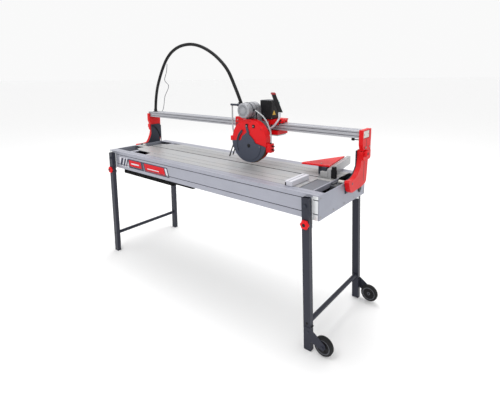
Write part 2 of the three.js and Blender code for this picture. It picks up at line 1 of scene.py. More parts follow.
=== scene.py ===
import bpy, bmesh, json, math
from mathutils import Vector, Matrix
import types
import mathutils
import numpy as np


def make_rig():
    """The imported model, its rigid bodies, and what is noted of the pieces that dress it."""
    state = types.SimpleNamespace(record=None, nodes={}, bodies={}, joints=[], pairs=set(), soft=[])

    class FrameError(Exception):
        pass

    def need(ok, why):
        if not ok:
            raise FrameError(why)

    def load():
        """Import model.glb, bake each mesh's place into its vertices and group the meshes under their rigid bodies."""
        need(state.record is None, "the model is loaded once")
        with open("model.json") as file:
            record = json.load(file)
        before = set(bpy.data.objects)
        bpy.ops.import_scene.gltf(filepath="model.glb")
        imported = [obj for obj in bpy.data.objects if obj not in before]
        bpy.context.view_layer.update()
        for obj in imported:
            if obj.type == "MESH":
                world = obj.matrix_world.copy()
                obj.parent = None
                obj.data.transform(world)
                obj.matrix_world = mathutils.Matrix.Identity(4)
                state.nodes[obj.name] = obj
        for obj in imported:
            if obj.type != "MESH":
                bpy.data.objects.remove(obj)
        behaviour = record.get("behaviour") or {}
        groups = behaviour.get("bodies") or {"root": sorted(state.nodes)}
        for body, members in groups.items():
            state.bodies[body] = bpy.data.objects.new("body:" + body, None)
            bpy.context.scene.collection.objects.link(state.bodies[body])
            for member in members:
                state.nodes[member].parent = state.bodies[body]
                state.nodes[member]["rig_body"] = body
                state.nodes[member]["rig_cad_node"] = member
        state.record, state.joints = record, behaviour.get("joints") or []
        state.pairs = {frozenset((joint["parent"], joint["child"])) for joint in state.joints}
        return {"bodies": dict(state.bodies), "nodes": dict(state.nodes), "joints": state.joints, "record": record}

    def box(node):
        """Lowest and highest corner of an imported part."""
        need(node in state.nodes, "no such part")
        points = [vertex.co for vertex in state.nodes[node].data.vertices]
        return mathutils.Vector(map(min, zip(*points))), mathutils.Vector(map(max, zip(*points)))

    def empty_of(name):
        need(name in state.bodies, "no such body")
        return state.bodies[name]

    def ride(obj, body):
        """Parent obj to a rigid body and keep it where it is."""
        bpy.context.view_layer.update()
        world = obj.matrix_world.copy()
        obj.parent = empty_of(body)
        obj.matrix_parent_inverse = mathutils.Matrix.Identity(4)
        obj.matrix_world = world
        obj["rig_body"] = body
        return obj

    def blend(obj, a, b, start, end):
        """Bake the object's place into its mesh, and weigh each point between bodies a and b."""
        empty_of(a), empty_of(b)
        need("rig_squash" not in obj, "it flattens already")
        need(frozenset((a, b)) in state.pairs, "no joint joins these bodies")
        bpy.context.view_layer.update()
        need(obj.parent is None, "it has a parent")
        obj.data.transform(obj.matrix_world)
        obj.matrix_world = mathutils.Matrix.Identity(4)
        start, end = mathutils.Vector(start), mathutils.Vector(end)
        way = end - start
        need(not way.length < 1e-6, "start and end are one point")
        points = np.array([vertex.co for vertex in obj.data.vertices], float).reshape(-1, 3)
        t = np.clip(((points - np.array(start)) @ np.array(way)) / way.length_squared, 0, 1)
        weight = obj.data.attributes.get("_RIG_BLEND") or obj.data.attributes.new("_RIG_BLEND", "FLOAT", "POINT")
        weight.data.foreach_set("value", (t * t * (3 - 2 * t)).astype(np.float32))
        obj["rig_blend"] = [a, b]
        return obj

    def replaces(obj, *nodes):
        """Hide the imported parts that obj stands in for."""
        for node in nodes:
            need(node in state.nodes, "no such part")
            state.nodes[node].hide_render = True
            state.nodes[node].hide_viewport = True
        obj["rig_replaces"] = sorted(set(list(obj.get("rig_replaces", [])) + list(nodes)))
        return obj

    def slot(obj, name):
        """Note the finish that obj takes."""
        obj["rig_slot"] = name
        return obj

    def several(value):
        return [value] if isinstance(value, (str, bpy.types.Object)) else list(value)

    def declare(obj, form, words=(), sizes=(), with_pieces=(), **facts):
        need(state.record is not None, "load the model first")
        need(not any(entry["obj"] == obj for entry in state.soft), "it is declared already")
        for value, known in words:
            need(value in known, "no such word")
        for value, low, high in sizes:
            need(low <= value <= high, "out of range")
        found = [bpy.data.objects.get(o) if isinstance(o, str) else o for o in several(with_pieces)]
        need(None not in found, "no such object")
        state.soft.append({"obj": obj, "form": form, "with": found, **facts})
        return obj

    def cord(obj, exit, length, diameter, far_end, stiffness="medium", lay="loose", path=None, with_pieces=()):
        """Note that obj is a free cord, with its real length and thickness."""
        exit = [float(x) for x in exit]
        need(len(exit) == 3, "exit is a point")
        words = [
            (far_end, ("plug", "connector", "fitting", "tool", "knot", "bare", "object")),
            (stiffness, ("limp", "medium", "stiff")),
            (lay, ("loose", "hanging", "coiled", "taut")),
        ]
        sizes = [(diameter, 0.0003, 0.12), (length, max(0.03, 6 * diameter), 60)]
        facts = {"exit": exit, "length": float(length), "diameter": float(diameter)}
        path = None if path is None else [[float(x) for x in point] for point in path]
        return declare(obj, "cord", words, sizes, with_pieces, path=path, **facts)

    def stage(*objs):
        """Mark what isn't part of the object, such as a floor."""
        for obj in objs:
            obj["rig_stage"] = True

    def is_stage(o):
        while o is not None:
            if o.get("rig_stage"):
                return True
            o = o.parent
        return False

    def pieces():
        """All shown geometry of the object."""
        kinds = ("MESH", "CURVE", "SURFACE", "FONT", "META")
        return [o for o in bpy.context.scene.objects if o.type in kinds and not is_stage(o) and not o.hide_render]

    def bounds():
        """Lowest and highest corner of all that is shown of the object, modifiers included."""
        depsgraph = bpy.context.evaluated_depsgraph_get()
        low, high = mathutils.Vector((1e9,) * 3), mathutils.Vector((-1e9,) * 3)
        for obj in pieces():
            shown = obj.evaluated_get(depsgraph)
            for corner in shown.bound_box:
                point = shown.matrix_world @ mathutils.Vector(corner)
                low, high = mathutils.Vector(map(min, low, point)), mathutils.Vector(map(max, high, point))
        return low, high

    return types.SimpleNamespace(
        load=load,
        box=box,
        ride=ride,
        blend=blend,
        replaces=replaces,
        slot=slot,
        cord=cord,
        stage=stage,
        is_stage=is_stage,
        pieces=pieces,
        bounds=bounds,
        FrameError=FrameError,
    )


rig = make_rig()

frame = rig.load()
nodes = frame["nodes"]
cad_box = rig.bounds()

# Places below are in mm on the CAD model's own axes: x to the right, y to the rear, z up from the
# floor, zero in the middle of the table. SHIFT is where the row's origin lies on those axes.
RAIL_CORNER = Vector((-944, 123.5, 1034))
SHIFT = RAIL_CORNER - Vector(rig.box("rail")[0]) * 1000


def R(x, y, z):
    """model mm to row metres"""
    return (Vector((x, y, z)) - SHIFT) / 1000


rad = math.radians
scene = bpy.context.scene

SIDES = (("left", -1), ("right", 1))
ROWS = (("front", -1), ("rear", 1))
PIVOT_Y, PIVOT_Z = 26, 806              # tilt axis of the bridge
BLADE_X, BLADE_Y, BLADE_Z = 263, 26, 947
BLADE_R = 125
GUARD_Z, GUARD_R = 967, 136.4           # round edge of the guard, centred over the blade
MOTOR_X, MOTOR_Z = 244, 1160
ARCH_Y = 160                            # plane of the conduit's arch, over the rail
TABLE_Z = 810                           # work face
WALL_Y = 272.5                          # outer face of the long profiles
SUNK = 0.1                              # how far trim is let into its support
END_X = 920                             # outer face of the end panels
LEG_X, LEG_Z = 861, 757                 # fold axis of the legs
LEG_SPLAY = {"left": rad(0.4), "right": rad(2.0)}
WHEEL_X, WHEEL_Z = 972, 56
LEG_FACE_Y = 304.5                      # outer face of the legs
ALONG_X, ALONG_Y, ALONG_Z = (1, 0, 0), (0, 1, 0), (0, 0, 1)
FORWARD = (0, -1, 0)


def on_circle(x, z, r, deg):
    """a point at an angle on a circle"""
    return x + r * math.cos(rad(deg)), z + r * math.sin(rad(deg))


# ---------------------------------------------------------------- camera
YAW, PITCH, ROLL = rad(-39.3), rad(-9.3), rad(-0.5)

cam = bpy.data.cameras.new("camera")
cam.sensor_width = 36
cam.lens = 26.7552
cam.shift_y = -0.13
cam.clip_end = 100
cam_ob = bpy.data.objects.new("camera", cam)
scene.collection.objects.link(cam_ob)
ahead = Vector((math.sin(YAW) * math.cos(PITCH), math.cos(YAW) * math.cos(PITCH), math.sin(PITCH)))
right = Vector((math.cos(YAW), -math.sin(YAW), 0))
up = right.cross(ahead)
rolled_right = right * math.cos(ROLL) + up * math.sin(ROLL)
rolled_up = up * math.cos(ROLL) - right * math.sin(ROLL)
pose = Matrix((rolled_right, rolled_up, -ahead)).transposed().to_4x4()
pose.translation = R(1736.4, -1785.0, 1383.6)
cam_ob.matrix_world = pose
scene.camera = cam_ob

# ---------------------------------------------------------------- mesh helpers


def put(name, me):
    ob = bpy.data.objects.new(name, me)
    scene.collection.objects.link(ob)
    return ob


def shade(ob, deg=40):
    """smooth faces, with edges sharper than deg kept"""
    me = ob.data
    me.polygons.foreach_set("use_smooth", [True] * len(me.polygons))
    me.set_sharp_from_angle(angle=rad(deg))


def link(name, verts, faces, mats=(), smooth=40, midx=None):
    """an object from corners in row metres; midx gives each face its material"""
    me = bpy.data.meshes.new(name)
    me.from_pydata([tuple(v) for v in verts], [], faces)
    me.validate()
    for mt in (mats if isinstance(mats, (list, tuple)) else [mats]):
        me.materials.append(mt)
    if midx:
        for p, i in zip(me.polygons, midx):
            p.material_index = i
    bm = bmesh.new()
    bm.from_mesh(me)
    bmesh.ops.recalc_face_normals(bm, faces=bm.faces)
    bm.to_mesh(me)
    bm.free()
    ob = put(name, me)
    shade(ob, smooth)
    return ob


def bevel(ob, w, seg=2, deg=32):
    """edges rounded by w mm, with the modifiers applied"""
    b = ob.modifiers.new("b", "BEVEL")
    b.width = w / 1000
    b.segments = seg
    b.limit_method = "ANGLE"
    b.angle_limit = rad(deg)
    b.use_clamp_overlap = True
    b.miter_outer = "MITER_SHARP"
    ob.modifiers.new("w", "WEIGHTED_NORMAL").keep_sharp = True
    shade(ob, 80)
    graph = bpy.context.evaluated_depsgraph_get()
    me = bpy.data.meshes.new_from_object(ob.evaluated_get(graph))
    ob.modifiers.clear()
    old = ob.data
    ob.data = me
    bpy.data.meshes.remove(old)
    return ob


def join(name, obs):
    """one object from several, which are removed"""
    bm = bmesh.new()
    mats = []
    for o in obs:
        idx = []
        for mt in o.data.materials:
            if mt not in mats:
                mats.append(mt)
            idx.append(mats.index(mt))
        first = len(bm.faces)
        bm.from_mesh(o.data)
        bm.faces.ensure_lookup_table()
        for f in bm.faces[first:]:
            f.material_index = idx[f.material_index]
    me = bpy.data.meshes.new(name)
    bm.to_mesh(me)
    bm.free()
    for mt in mats:
        me.materials.append(mt)
    for o in obs:
        old = o.data
        bpy.data.objects.remove(o)
        bpy.data.meshes.remove(old)
    return put(name, me)


def ring_faces(rings, n, start=0):
    """quads between neighbouring rings of n corners"""
    faces = []
    for k in range(rings - 1):
        for i in range(n):
            j = (i + 1) % n
            near, far = start + k * n, start + (k + 1) * n
            faces.append((near + i, near + j, far + j, far + i))
    return faces


def basis(axis):
    """two directions across an axis, and the axis itself"""
    w = Vector(axis).normalized()
    u = w.orthogonal().normalized()
    if abs(w.y) > 0.9 or abs(w.z) > 0.9:
        u = Vector(ALONG_X)
    elif abs(w.x) > 0.9:
        u = Vector(ALONG_Y)
    return u, w.cross(u), w


def lathe(name, c, axis, prof, mats, n=48, midx=None, smooth=35, shape=None, close=True):
    """a turned piece: prof is (distance along the axis, radius), shape scales the radius by angle"""
    u, v, w = basis(axis)
    c = Vector(c)
    verts = []
    for t, r in prof:
        for i in range(n):
            a = 2 * math.pi * i / n
            q = r * (shape(a, t, r) if shape else 1)
            verts.append(R(*(c + u * q * math.cos(a) + v * q * math.sin(a) + w * t)))
    faces = ring_faces(len(prof), n)
    mi = [midx[k] if midx else 0 for k in range(len(prof) - 1) for i in range(n)]
    if close:
        last = (len(prof) - 1) * n
        faces += [tuple(range(n)), tuple(reversed(range(last, last + n)))]
        mi += [mi[0], mi[-1]]
    return link(name, verts, faces, mats, smooth, mi)


def between(a, b, ta, tb, t):
    """straight blend of a at ta and b at tb"""
    return a * ((tb - t) / (tb - ta)) + b * ((t - ta) / (tb - ta))


def smooth_path(pts, per=8):
    """centripetal curve through the points, with per steps to a stretch"""
    P = [Vector(p) for p in pts]
    P = [P[0] * 2 - P[1]] + P + [P[-1] * 2 - P[-2]]
    out = []
    for i in range(1, len(P) - 2):
        p0, p1, p2, p3 = P[i - 1:i + 3]
        t0 = 0
        t1 = t0 + (p1 - p0).length ** 0.5
        t2 = t1 + (p2 - p1).length ** 0.5
        t3 = t2 + (p3 - p2).length ** 0.5
        for k in range(per):
            t = t1 + (t2 - t1) * k / per
            a1 = between(p0, p1, t0, t1, t)
            a2 = between(p1, p2, t1, t2, t)
            a3 = between(p2, p3, t2, t3, t)
            b1 = between(a1, a2, t0, t2, t)
            b2 = between(a2, a3, t1, t3, t)
            out.append(between(b1, b2, t1, t2, t))
    out.append(P[-2].copy())
    return out


def resample(pts, step):
    """the path again in even steps of about step mm"""
    d = [0.0]
    for a, b in zip(pts, pts[1:]):
        d.append(d[-1] + (b - a).length)
    n = max(2, round(d[-1] / step))
    out, j = [], 0
    for i in range(n + 1):
        s = d[-1] * i / n
        while j < len(d) - 2 and d[j + 1] < s:
            j += 1
        f = (s - d[j]) / max(1e-9, d[j + 1] - d[j])
        out.append(pts[j].lerp(pts[j + 1], min(1, f)))
    return out


def sweep(name, pts, radius, mats, n=12, smooth=60):
    """a round section carried along a path; radius may be a function of the step"""
    verts = []
    prev = None
    for k, p in enumerate(pts):
        t = (pts[min(k + 1, len(pts) - 1)] - pts[max(k - 1, 0)]).normalized()
        u = (prev - t * prev.dot(t)).normalized() if prev else t.orthogonal().normalized()
        prev = u
        v = t.cross(u)
        r = radius(k) if callable(radius) else radius
        for i in range(n):
            a = 2 * math.pi * i / n
            verts.append(R(*(p + u * r * math.cos(a) + v * r * math.sin(a))))
    faces = ring_faces(len(pts), n)
    faces += [tuple(range(n)), tuple(range((len(pts) - 1) * n, len(pts) * n))]
    return link(name, verts, faces, mats, smooth)


def cube(name, x0, x1, y0, y1, z0, z1, mt, bev=1.0, seg=2):
    vs = [R(x, y, z) for x in (x0, x1) for y in (y0, y1) for z in (z0, z1)]
    fs = [(0, 1, 3, 2), (4, 6, 7, 5), (0, 4, 5, 1), (2, 3, 7, 6), (0, 2, 6, 4), (1, 5, 7, 3)]
    ob = link(name, vs, fs, mt)
    return bevel(ob, bev, seg) if bev else ob


def plate(name, pts, axis, a, b, mt, bev=0.6, seg=2):
    """a flat outline carried along an axis from a to b"""
    def at(p, t):
        return {"x": R(t, p[0], p[1]), "y": R(p[0], t, p[1]), "z": R(p[0], p[1], t)}[axis]
    n = len(pts)
    vs = [at(p, a) for p in pts] + [at(p, b) for p in pts]
    fs = [tuple(range(n)), tuple(range(2 * n - 1, n - 1, -1))]
    fs += [(i, (i + 1) % n, n + (i + 1) % n, n + i) for i in range(n)]
    ob = link(name, vs, fs, mt)
    return bevel(ob, bev, seg) if bev else ob


def bolt(name, c, axis, r, h, mt):
    """hexagon head"""
    return lathe(name, c, axis, [(-1, r), (h * 0.75, r), (h, r * 0.86)], mt, n=6, smooth=20)


def screw(name, c, axis, r, h, mt):
    """pan head with a small recess"""
    prof = [(-1, r), (h * 0.5, r), (h * 0.85, r * 0.8), (h, r * 0.45), (h - 0.8, r * 0.42), (h - 0.8, 0.01)]
    return lathe(name, c, axis, prof, mt, n=24)


def radial_bars(name, x, z, y0, y1, inner, outer, count, mt, phase=0.0):
    """bars round an axis along y; inner and outer are (radius, half width)"""
    bars = []
    for k in range(count):
        a = 2 * math.pi * k / count + phase
        u = Vector((math.cos(a), 0, math.sin(a)))
        v = Vector((-math.sin(a), 0, math.cos(a)))
        vs = []
        for y in (y0, y1):
            for (r, w), sign in ((inner, -1), (inner, 1), (outer, 1), (outer, -1)):
                p = u * r + v * w * sign
                vs.append(R(x + p.x, y, z + p.z))
        fs = [(0, 1, 2, 3), (7, 6, 5, 4), (0, 4, 5, 1), (1, 5, 6, 2), (2, 6, 7, 3), (3, 7, 4, 0)]
        bars.append(link(name, vs, fs, mt))
    return bars


def stand_in(ob, body, slot, *names):
    """the piece rides on a body and stands for the named CAD nodes"""
    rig.ride(ob, body)
    if names:
        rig.replaces(ob, *names)
    if slot:
        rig.slot(ob, slot)
    return ob


# ---------------------------------------------------------------- materials
TONE = 0.80              # how light the finishes are under the studio light
ROUGH_SPREAD = 0.08      # how far the roughness wanders either way
BUMP_DEPTH = 0.00025     # metres


def lin(c):
    """8-bit colour to linear light"""
    return tuple(((x / 255 + 0.055) / 1.055) ** 2.4 if x / 255 > 0.04045 else x / 255 / 12.92 for x in c)


def noise(nt, vector, scale, detail):
    node = nt.nodes.new("ShaderNodeTexNoise")
    node.inputs["Scale"].default_value = scale
    node.inputs["Detail"].default_value = detail
    nt.links.new(vector, node.inputs["Vector"])
    return node.outputs["Fac"]


def remap(nt, value, from_min, from_max, to_min, to_max):
    node = nt.nodes.new("ShaderNodeMapRange")
    node.inputs["From Min"].default_value = from_min
    node.inputs["From Max"].default_value = from_max
    node.inputs["To Min"].default_value = to_min
    node.inputs["To Max"].default_value = to_max
    nt.links.new(value, node.inputs["Value"])
    return node.outputs["Result"]


def mat(name, rgb, rough=0.5, metal=0.0, var=0.05, vscale=9.0, grain=0.12, gscale=1400, stretch=(1, 1, 1),
        spec=0.5, second=None, streak=0.0, trans=0.0):
    """a finish with a mottled colour, a fine grain that can be drawn out, and an uneven gloss"""
    mt = bpy.data.materials.new(name)
    mt.use_nodes = True
    nt = mt.node_tree
    shader = nt.nodes["Principled BSDF"]
    shader.inputs["Metallic"].default_value = metal
    shader.inputs["Specular IOR Level"].default_value = spec
    if trans:
        shader.inputs["Transmission Weight"].default_value = trans
        shader.inputs["IOR"].default_value = 1.4
    place = nt.nodes.new("ShaderNodeTexCoord").outputs["Object"]
    drawn = nt.nodes.new("ShaderNodeMapping")
    drawn.inputs["Scale"].default_value = stretch
    nt.links.new(place, drawn.inputs["Vector"])
    ramp = nt.nodes.new("ShaderNodeValToRGB")
    for i, (at, paint, gain) in enumerate(((0.3, rgb, 1 - var), (0.7, second or rgb, 1 + var))):
        ramp.color_ramp.elements[i].position = at
        ramp.color_ramp.elements[i].color = (*[min(1, c * gain) for c in Vector(lin(paint)) * TONE], 1)
    nt.links.new(noise(nt, place, vscale, 6), ramp.inputs["Fac"])
    colour = ramp.outputs["Color"]
    fine = noise(nt, drawn.outputs["Vector"], gscale, 3)
    if streak:
        mix = nt.nodes.new("ShaderNodeMix")
        mix.data_type = "RGBA"
        mix.blend_type = "MULTIPLY"
        mix.inputs[0].default_value = 1.0
        nt.links.new(colour, mix.inputs[6])
        nt.links.new(remap(nt, fine, 0.35, 0.65, 1 - streak, 1.0), mix.inputs[7])
        colour = mix.outputs[2]
    nt.links.new(colour, shader.inputs["Base Color"])
    smoothest, roughest = max(0.03, rough - ROUGH_SPREAD), min(1, rough + ROUGH_SPREAD)
    gloss = remap(nt, noise(nt, place, 35, 8), 0, 1, smoothest, roughest)
    nt.links.new(gloss, shader.inputs["Roughness"])
    bump = nt.nodes.new("ShaderNodeBump")
    bump.inputs["Strength"].default_value = grain
    bump.inputs["Distance"].default_value = BUMP_DEPTH
    nt.links.new(fine, bump.inputs["Height"])
    nt.links.new(bump.outputs["Normal"], shader.inputs["Normal"])
    return mt


# metals
ALU_P = mat("anodised_profile", (176, 178, 190), 0.42, 0.35, var=0.03, stretch=(0.012, 1, 1), gscale=900,
            streak=0.05, grain=0.15)
ALU_T = mat("brushed_table", (194, 196, 200), 0.40, 0.35, var=0.05, stretch=(0.01, 1, 1), gscale=500,
            streak=0.08, grain=0.2, second=(188, 187, 186))
ALU_R = mat("rail_aluminium", (190, 191, 197), 0.36, 0.45, var=0.03, stretch=(0.01, 1, 1), gscale=700,
            streak=0.06, grain=0.15)
STEEL = mat("turned_steel", (150, 152, 156), 0.3, 0.9, var=0.05, gscale=1500, grain=0.12)
ZINC = mat("zinc_plate", (168, 168, 172), 0.34, 0.85, var=0.10, vscale=120, gscale=300, grain=0.1,
           second=(184, 180, 168))
CAST = mat("silver_cast", (176, 177, 182), 0.42, 0.55, var=0.06, gscale=420, grain=0.35)
CASTD = mat("dark_cast", (98, 100, 106), 0.5, 0.5, var=0.08, gscale=420, grain=0.35)
# pale metal of the profile ends and bracket plates, lightened into a painted highlight
PALE_AND_HIGHLIT = mat("pale_casting_and_highlight", (246, 248, 250), 0.3, 0.4, var=0.04, gscale=500, grain=0.2)
MID = mat("mid_grey_plate", (122, 124, 132), 0.5, 0.3, var=0.05, gscale=700, grain=0.2)
BLADEM = mat("blade_steel", (120, 122, 128), 0.35, 0.9, var=0.06, gscale=900, grain=0.15)
RIMM = mat("diamond_rim", (120, 104, 74), 0.75, 0.4, var=0.25, vscale=300, gscale=2500, grain=0.8)
# paints
SHEET = mat("end_panel_paint", (162, 165, 178), 0.45, 0.2, var=0.03, gscale=700, grain=0.12)
RED = mat("red_powder_coat", (232, 10, 18), 0.42, 0.0, var=0.07, gscale=520, grain=0.22, spec=0.25)
# red_shadow_paint: a darker red of painted shade on recess lines, the carriage's lip, the guard's rivets and the
# grip's end
RED_SHADE = mat("red_shadow_paint", (150, 16, 22), 0.42, 0.0, var=0.10, gscale=520, grain=0.2)
SLATE = mat("slate_powder_coat", (58, 62, 74), 0.5, 0.1, var=0.06, gscale=650, grain=0.3, spec=0.25)
LEGM = mat("leg_powder_coat", (52, 54, 66), 0.42, 0.1, var=0.06, gscale=650, grain=0.25, spec=0.25)
WHITE = mat("white_coated_bar", (222, 222, 230), 0.4, 0.1, var=0.03, gscale=600, grain=0.15)
YELL = mat("yellow_label", (228, 190, 50), 0.5, 0.0, var=0.03, gscale=1500, grain=0.05)
NAVY = mat("navy_print", (34, 36, 66), 0.4, 0.0, var=0.05, gscale=1500, grain=0.05)
REDG = mat("red_print", (222, 14, 30), 0.5, 0.0, var=0.05, gscale=1500, grain=0.05, spec=0.2)
WHTG = mat("white_print", (226, 226, 234), 0.4, 0.0, var=0.03, gscale=1500, grain=0.05)
# plastics, rubber and the dark of grooves
REDP = mat("red_moulded_plastic", (238, 14, 24), 0.42, 0.0, var=0.05, gscale=1800, grain=0.25, spec=0.25)
GREY = mat("grey_moulded_cover", (74, 79, 94), 0.5, 0.0, var=0.06, gscale=1600, grain=0.35, spec=0.25)
BLACK = mat("black_moulded", (20, 20, 23), 0.45, 0.0, var=0.2, gscale=1500, grain=0.35, spec=0.25)
TRAY = mat("black_tray", (9, 9, 11), 0.6, 0.0, var=0.2, gscale=900, grain=0.35, spec=0.1)
# shadow_line: a dark grey of painted shade in grooves and seams
SHADE_LINE = mat("shadow_line", (70, 72, 80), 0.7, 0.0, var=0.1, gscale=900, grain=0.2, spec=0.15)
# dark grey of small dark parts, also painted shade in the blade slot and behind the clamping slots
DARK_AND_SHADE = mat("dark_parts_and_recess_shade", (30, 31, 36), 0.7, 0.0, var=0.2, gscale=1500, grain=0.2, spec=0.25)
RUBBER = mat("black_rubber", (24, 24, 26), 0.68, 0.0, var=0.25, gscale=2200, grain=0.5, second=(32, 32, 34),
             spec=0.25)
PALE = mat("pale_end_cap", (222, 221, 214), 0.5, 0.0, var=0.04, gscale=1500, grain=0.2)
CLEAR = mat("clear_hose", (208, 212, 214), 0.22, 0.0, var=0.03, gscale=800, grain=0.06, trans=0.35)
TEAL = mat("teal_plastic", (120, 188, 184), 0.3, 0.0, var=0.06, gscale=900, grain=0.1, trans=0.3)
PTEAL = mat("pale_teal_pad", (178, 200, 198), 0.5, 0.0, var=0.05, gscale=1500, grain=0.2)

# ---------------------------------------------------------------- cords
ARCH = [(-896, ARCH_Y, 1077), (-893, ARCH_Y, 1110), (-884, ARCH_Y, 1176), (-857, ARCH_Y, 1275),
        (-818, ARCH_Y, 1359), (-766, ARCH_Y, 1447), (-716, ARCH_Y, 1510), (-650, ARCH_Y, 1562),
        (-556, ARCH_Y, 1599), (-435, ARCH_Y, 1610), (-331, ARCH_Y, 1592), (-228, ARCH_Y, 1550),
        (-129, ARCH_Y, 1486), (-52, ARCH_Y, 1411), (12, ARCH_Y, 1301), (62, ARCH_Y, 1200),
        (86, ARCH_Y, 1140), (94, ARCH_Y, 1112), (95, ARCH_Y, 1101.6)]
VALVE_TO_GUARD = [(70, 66, 1176.6), (72, 64, 1150), (80, 55, 1108), (92, 42, 1056), (108, 30, 1020),
                  (118, 26, 1000), (119, 26, 986)]
ARM_TO_GUARD = [(294.5, 21.5, 1163), (315, 19, 1157), (330, 15, 1150), (358, 15, 1134), (389, 15, 1106),
                (410, 15, 1071), (424, 16, 1035), (425, 18, 999), (420, 24, 963.2)]
STAY = [(-930, 216, 1053.5), (-908, 226, 1064), (-886, 230, 1086), (-860, 222, 1130), (-814, 202, 1206),
        (-744, 188, 1296), (-780, 180, 1338), (-742, 172, 1410), (-722, 165, 1470)]


def path_length(pts):
    return sum((Vector(a) - Vector(b)).length for a, b in zip(pts, pts[1:]))


def conduit():
    """corrugated conduit, fixed to the rail's end and to the carriage"""
    centre = resample(smooth_path(ARCH, 10), 3.0)
    ob = sweep("conduit_hose", centre, lambda k: (12.0, 11.0)[k % 2], RUBBER, n=16, smooth=80)
    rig.blend(ob, "bridge", "carriage", tuple(R(-890, ARCH_Y, 1300)), tuple(R(90, ARCH_Y, 1300)))
    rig.replaces(ob, "conduit")
    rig.slot(ob, "black_rubber")
    path = [tuple(R(*p)) for p in resample(centre, 60)]
    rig.cord(ob, exit=path[0], length=round(path_length(path), 4), diameter=0.024, far_end="object",
            stiffness="stiff", lay="hanging", path=path)


def hose(name, node, pts, r):
    """clear water tube on the head"""
    centre = resample(smooth_path(pts, 10), 5.0)
    ob = stand_in(sweep(name, centre, r, CLEAR, n=14), "head", "clear_tube", node)
    path = [tuple(R(*p)) for p in centre]
    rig.cord(ob, exit=path[0], length=path_length(path), diameter=2 * r / 1000, far_end="object",
            stiffness="medium", lay="hanging", path=path)


conduit()
hose("hose_left", "water_tube_left", VALVE_TO_GUARD, 5.0)
hose("hose_right", "water_tube_right", ARM_TO_GUARD, 4.5)
stay = [sweep("w", smooth_path(STAY, 8), 2.4, CASTD, n=10),
        screw("wb", (-929, 214, 1053), (-0.3, 1, 0), 6, 4, ZINC)]
stand_in(join("conduit_stay_wire", stay), "bridge", "zinc_steel", "conduit_stay")

# ---------------------------------------------------------------- refined CAD solids


def refine(node, body, mt, slot, w=0.8):
    """a copy of a CAD node with its flat faces merged and its edges rounded by w mm"""
    me = nodes[node].data.copy()
    me.transform(nodes[node].matrix_world)
    bm = bmesh.new()
    bm.from_mesh(me)
    bmesh.ops.remove_doubles(bm, verts=bm.verts, dist=2e-5)
    bmesh.ops.dissolve_limit(bm, angle_limit=rad(0.6), verts=bm.verts, edges=bm.edges)
    bm.to_mesh(me)
    bm.free()
    me.materials.clear()
    me.materials.append(mt)
    for at in list(me.attributes):
        if at.name.startswith(("custom_normal", "sharp_")):
            me.attributes.remove(at)
    ob = put(node + "_finished", me)
    for p in me.polygons:
        p.material_index = 0
    bevel(ob, w)
    return stand_in(ob, body, slot, node)


def second_paint(ob, mt, where):
    """another material on the faces whose centre passes the test"""
    ob.data.materials.append(mt)
    for p in ob.data.polygons:
        p.material_index = 1 if where(p.center) else 0


def off_the_plate(c):
    """faces of a leg bracket that aren't on its mounting plate, between 272 and 276 mm out"""
    y = abs(c.y * 1000 + SHIFT.y)
    return y > 276 or y < 272


for node, mt, slot, w in [
        ("front_profile", ALU_P, "alu_profile", 0.7), ("rear_profile", ALU_P, "alu_profile", 0.7),
        ("end_panel_left", SHEET, "end_sheet", 0.8), ("end_panel_right", SHEET, "end_sheet", 0.8),
        ("table_front", ALU_T, "alu_table", 0.6), ("table_rear", ALU_T, "alu_table", 0.6),
        ("table_bearer_left", ALU_P, "alu_profile", 0.6), ("table_bearer_right", ALU_P, "alu_profile", 0.6),
        ("water_tray", TRAY, "black_plastic", 1.0),
        ("tilt_plate_left", SLATE, "slate_steel", 0.7), ("tilt_plate_right", SLATE, "slate_steel", 0.7)]:
    refine(node, "frame", mt, slot, w)
for row, _ in ROWS:
    for side, _ in SIDES:
        # the bracket's mounting plate takes the pale metal with a painted highlight
        bracket = refine(f"leg_bracket_{row}_{side}", "frame", PALE_AND_HIGHLIT, "slate_steel", 0.5)
        second_paint(bracket, SLATE, off_the_plate)
for side, _ in SIDES:
    for row, _ in ROWS:
        refine(f"leg_{row}_{side}", f"stand_{side}", LEGM, "slate_steel", 1.2)
    refine(f"crossbar_{side}", f"stand_{side}", LEGM, "slate_steel", 0.5)
refine("pylon_left", "bridge", RED, "red_cast", 1.6)
refine("pylon_right", "bridge", RED, "red_cast", 1.6)
refine("rail", "bridge", ALU_R, "alu_profile", 0.8)
refine("carriage", "carriage", RED, "red_cast", 1.2)
refine("roller_1", "roller_a", STEEL, "steel", 0.5)
refine("roller_2", "roller_b", STEEL, "steel", 0.5)
refine("head_arm", "head", CAST, "alu_profile", 1.8)
refine("drive_belt", "head", RUBBER, "black_rubber", 0.4)
refine("guard", "head", REDP, "red_plastic", 1.0)
refine("guard_cover", "head", GREY, "grey_plastic", 1.0)
refine("splash_flap", "head", RUBBER, "black_rubber", 0.5)
refine("motor_pulley", "motor_rotor", STEEL, "steel", 0.6)
refine("arbor", "spindle", STEEL, "steel", 0.5)
refine("blade_nut", "spindle", STEEL, "steel", 0.6)
refine("fence", "fence", ALU_T, "alu_table", 0.5)
protractor = refine("protractor", "fence", REDP, "red_plastic", 0.9)
second_paint(protractor, SLATE, lambda c: c.z < 0.8600)
refine("fence_clamp", "fence", BLACK, "black_plastic", 1.2)

# ---------------------------------------------------------------- knobs
# heights as parts of the grip's height, radii as parts of its radius
KNOB_PROFILE = [(0, 0.5), (0, 0.86), (0.12, 0.97), (0.3, 1), (0.62, 0.98), (0.82, 0.9), (0.93, 0.75),
                (0.95, 0.6)]
KNOB_DROP = 91              # leg knob below the fold axis, along the leg
TILT_SLOT_R, TILT_KNOB_DEG = 190, 49.3


def leg_x(side, s, drop):
    """x on a leg's middle line, drop mm below the fold axis"""
    return s * (LEG_X + drop * math.sin(LEG_SPLAY[side]))


